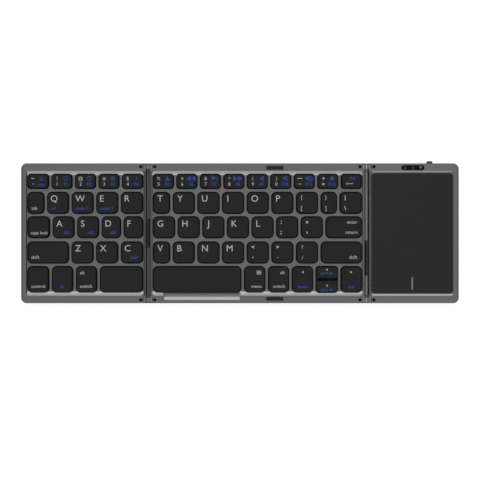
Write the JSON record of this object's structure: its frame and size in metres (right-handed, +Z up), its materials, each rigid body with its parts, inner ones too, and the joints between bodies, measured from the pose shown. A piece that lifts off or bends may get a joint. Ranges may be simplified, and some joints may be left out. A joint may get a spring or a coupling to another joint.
{
  "type": "folding keyboard",
  "caption": "Portable keyboard whose wings fold in over the middle key panel on double-pin hinges; its keys press down and a touchpad fills the right wing.",
  "frame": {"origin": "on the desk, under the middle of the opened outline", "axes": "+X along the length towards the touchpad, +Y towards the rear edge, +Z up"},
  "size_m": [0.3066, 0.0997, 0.0082],
  "materials": {
    "housing_grey": "bead-blasted, anodised dark grey, with bright cut bevels",
    "key_black": "fine matte, printed legends",
    "touch_black": "smooth satin",
    "rubber_black": "soft matte",
    "screw_black": "blackened",
    "steel": "plain sheet and wire",
    "dome_black": "black silicone",
    "board_green": "solder mask",
    "foil": "matte pouch foil",
    "flex_black": "black flexible film",
    "window_black": "tinted, polished",
    "knob_black": "fine matte"
  },
  "bodies": {
    "middle_panel": {"mid_back_cover": "housing_grey", "mid_deck": "housing_grey", "mid_base_plate": "steel", "mid_dome_sheet": "dome_black", "mid_screws": "screw_black", "mid_feet": "rubber_black", "rest_pads": "rubber_black"},
    "left_bridge": {"left_spine": "housing_grey", "left_links": "housing_grey", "left_pins": "steel", "left_sleeve": "rubber_black", "left_flex_cable": "flex_black"},
    "left_wing": {"left_back_cover": "housing_grey", "left_deck": "housing_grey", "left_base_plate": "steel", "left_dome_sheet": "dome_black", "left_screws": "screw_black", "left_feet": "rubber_black"},
    "right_bridge": {"right_spine": "housing_grey", "right_links": "housing_grey", "right_pins": "steel", "right_sleeve": "rubber_black", "right_flex_cable": "flex_black"},
    "right_wing": {"right_back_cover": "housing_grey", "right_frame": "housing_grey", "touchpad": "touch_black", "touch_sensor_board": "board_green", "main_board": "board_green", "battery": "foil", "charging_socket": "steel", "light_window": "window_black", "right_screws": "screw_black", "right_feet": "rubber_black"},
    "power_switch": {"power_knob": "knob_black"},
    "keys_number_left": {"keys_number_left": "key_black"},
    "keys_upper_left": {"keys_upper_left": "key_black"},
    "keys_home_left": {"keys_home_left": "key_black"},
    "keys_lower_left": {"keys_lower_left": "key_black"},
    "key_tab": {"key_tab": "key_black"},
    "key_caps_lock": {"key_caps_lock": "key_black"},
    "key_shift_left": {"key_shift_left": "key_black"},
    "key_control": {"key_control": "key_black"},
    "key_fn": {"key_fn": "key_black"},
    "key_alt_left": {"key_alt_left": "key_black"},
    "key_space_left": {"key_space_left": "key_black"},
    "keys_number_mid": {"keys_number_mid": "key_black"},
    "keys_upper_mid": {"keys_upper_mid": "key_black"},
    "keys_home_mid": {"keys_home_mid": "key_black"},
    "keys_lower_mid": {"keys_lower_mid": "key_black"},
    "key_shift_right": {"key_shift_right": "key_black"},
    "key_alt_right": {"key_alt_right": "key_black"},
    "key_menu": {"key_menu": "key_black"},
    "key_space_right": {"key_space_right": "key_black"},
    "key_enter": {"key_enter": "key_black"},
    "key_backspace": {"key_backspace": "key_black"},
    "key_arrow_left": {"key_arrow_left": "key_black"},
    "key_arrow_up": {"key_arrow_up": "key_black"},
    "key_arrow_down": {"key_arrow_down": "key_black"},
    "key_arrow_right": {"key_arrow_right": "key_black"}
  },
  "joints": [
    {"name": "fold_left_inner", "type": "hinge", "parent": "middle_panel", "child": "left_bridge", "pos_m": [-0.06245, 0, 0.0055], "axis": [0, 1, 0], "range_deg": [0, 90], "deforming": ["left_flex_cable"]},
    {"name": "fold_left_outer", "type": "hinge", "parent": "left_bridge", "child": "left_wing", "pos_m": [-0.06665, 0, 0.0055], "axis": [0, 1, 0], "range_deg": [0, 90], "deforming": ["left_flex_cable"]},
    {"name": "fold_right_inner", "type": "hinge", "parent": "middle_panel", "child": "right_bridge", "pos_m": [0.08685, 0, 0.0055], "axis": [0, -1, 0], "range_deg": [0, 90], "deforming": ["right_flex_cable"]},
    {"name": "fold_right_outer", "type": "hinge", "parent": "right_bridge", "child": "right_wing", "pos_m": [0.09105, 0, 0.0055], "axis": [0, -1, 0], "range_deg": [0, 90], "deforming": ["right_flex_cable"]},
    {"name": "power_slide", "type": "slide", "parent": "right_wing", "child": "power_switch", "axis": [1, 0, 0], "range_m": [0, 0.002]},
    {"name": "press_number_left", "type": "slide", "parent": "left_wing", "child": "keys_number_left", "axis": [0, 0, -1], "range_m": [0, 0.0013], "stiffness_N_per_m": 1350, "springref_m": -0.0009, "deforming": ["left_dome_sheet"]},
    {"name": "press_upper_left", "type": "slide", "parent": "left_wing", "child": "keys_upper_left", "axis": [0, 0, -1], "range_m": [0, 0.0013], "stiffness_N_per_m": 1080, "springref_m": -0.0009, "deforming": ["left_dome_sheet"]},
    {"name": "press_home_left", "type": "slide", "parent": "left_wing", "child": "keys_home_left", "axis": [0, 0, -1], "range_m": [0, 0.0013], "stiffness_N_per_m": 1080, "springref_m": -0.0009, "deforming": ["left_dome_sheet"]},
    {"name": "press_lower_left", "type": "slide", "parent": "left_wing", "child": "keys_lower_left", "axis": [0, 0, -1], "range_m": [0, 0.0013], "stiffness_N_per_m": 810, "springref_m": -0.0009, "deforming": ["left_dome_sheet"]},
    {"name": "press_tab", "type": "slide", "parent": "left_wing", "child": "key_tab", "axis": [0, 0, -1], "range_m": [0, 0.0013], "stiffness_N_per_m": 270, "springref_m": -0.0009, "deforming": ["left_dome_sheet"]},
    {"name": "press_caps_lock", "type": "slide", "parent": "left_wing", "child": "key_caps_lock", "axis": [0, 0, -1], "range_m": [0, 0.0013], "stiffness_N_per_m": 270, "springref_m": -0.0009, "deforming": ["left_dome_sheet"]},
    {"name": "press_shift_left", "type": "slide", "parent": "left_wing", "child": "key_shift_left", "axis": [0, 0, -1], "range_m": [0, 0.0013], "stiffness_N_per_m": 270, "springref_m": -0.0009, "deforming": ["left_dome_sheet"]},
    {"name": "press_control", "type": "slide", "parent": "left_wing", "child": "key_control", "axis": [0, 0, -1], "range_m": [0, 0.0013], "stiffness_N_per_m": 270, "springref_m": -0.0009, "deforming": ["left_dome_sheet"]},
    {"name": "press_fn", "type": "slide", "parent": "left_wing", "child": "key_fn", "axis": [0, 0, -1], "range_m": [0, 0.0013], "stiffness_N_per_m": 270, "springref_m": -0.0009, "deforming": ["left_dome_sheet"]},
    {"name": "press_alt_left", "type": "slide", "parent": "left_wing", "child": "key_alt_left", "axis": [0, 0, -1], "range_m": [0, 0.0013], "stiffness_N_per_m": 270, "springref_m": -0.0009, "deforming": ["left_dome_sheet"]},
    {"name": "press_space_left", "type": "slide", "parent": "left_wing", "child": "key_space_left", "axis": [0, 0, -1], "range_m": [0, 0.0013], "stiffness_N_per_m": 270, "springref_m": -0.0009, "deforming": ["left_dome_sheet"]},
    {"name": "press_number_mid", "type": "slide", "parent": "middle_panel", "child": "keys_number_mid", "axis": [0, 0, -1], "range_m": [0, 0.0013], "stiffness_N_per_m": 2160, "springref_m": -0.0009, "deforming": ["mid_dome_sheet"]},
    {"name": "press_upper_mid", "type": "slide", "parent": "middle_panel", "child": "keys_upper_mid", "axis": [0, 0, -1], "range_m": [0, 0.0013], "stiffness_N_per_m": 2430, "springref_m": -0.0009, "deforming": ["mid_dome_sheet"]},
    {"name": "press_home_mid", "type": "slide", "parent": "middle_panel", "child": "keys_home_mid", "axis": [0, 0, -1], "range_m": [0, 0.0013], "stiffness_N_per_m": 1890, "springref_m": -0.0009, "deforming": ["mid_dome_sheet"]},
    {"name": "press_lower_mid", "type": "slide", "parent": "middle_panel", "child": "keys_lower_mid", "axis": [0, 0, -1], "range_m": [0, 0.0013], "stiffness_N_per_m": 1890, "springref_m": -0.0009, "deforming": ["mid_dome_sheet"]},
    {"name": "press_shift_right", "type": "slide", "parent": "middle_panel", "child": "key_shift_right", "axis": [0, 0, -1], "range_m": [0, 0.0013], "stiffness_N_per_m": 270, "springref_m": -0.0009, "deforming": ["mid_dome_sheet"]},
    {"name": "press_alt_right", "type": "slide", "parent": "middle_panel", "child": "key_alt_right", "axis": [0, 0, -1], "range_m": [0, 0.0013], "stiffness_N_per_m": 270, "springref_m": -0.0009, "deforming": ["mid_dome_sheet"]},
    {"name": "press_menu", "type": "slide", "parent": "middle_panel", "child": "key_menu", "axis": [0, 0, -1], "range_m": [0, 0.0013], "stiffness_N_per_m": 270, "springref_m": -0.0009, "deforming": ["mid_dome_sheet"]},
    {"name": "press_space_right", "type": "slide", "parent": "middle_panel", "child": "key_space_right", "axis": [0, 0, -1], "range_m": [0, 0.0013], "stiffness_N_per_m": 270, "springref_m": -0.0009, "deforming": ["mid_dome_sheet"]},
    {"name": "press_enter", "type": "slide", "parent": "middle_panel", "child": "key_enter", "axis": [0, 0, -1], "range_m": [0, 0.0013], "stiffness_N_per_m": 270, "springref_m": -0.0009, "deforming": ["mid_dome_sheet"]},
    {"name": "press_backspace", "type": "slide", "parent": "middle_panel", "child": "key_backspace", "axis": [0, 0, -1], "range_m": [0, 0.0013], "stiffness_N_per_m": 270, "springref_m": -0.0009, "deforming": ["mid_dome_sheet"]},
    {"name": "press_arrow_left", "type": "slide", "parent": "middle_panel", "child": "key_arrow_left", "axis": [0, 0, -1], "range_m": [0, 0.0013], "stiffness_N_per_m": 270, "springref_m": -0.0009, "deforming": ["mid_dome_sheet"]},
    {"name": "press_arrow_up", "type": "slide", "parent": "middle_panel", "child": "key_arrow_up", "axis": [0, 0, -1], "range_m": [0, 0.0013], "stiffness_N_per_m": 270, "springref_m": -0.0009, "deforming": ["mid_dome_sheet"]},
    {"name": "press_arrow_down", "type": "slide", "parent": "middle_panel", "child": "key_arrow_down", "axis": [0, 0, -1], "range_m": [0, 0.0013], "stiffness_N_per_m": 270, "springref_m": -0.0009, "deforming": ["mid_dome_sheet"]},
    {"name": "press_arrow_right", "type": "slide", "parent": "middle_panel", "child": "key_arrow_right", "axis": [0, 0, -1], "range_m": [0, 0.0013], "stiffness_N_per_m": 270, "springref_m": -0.0009, "deforming": ["mid_dome_sheet"]}
  ]
}
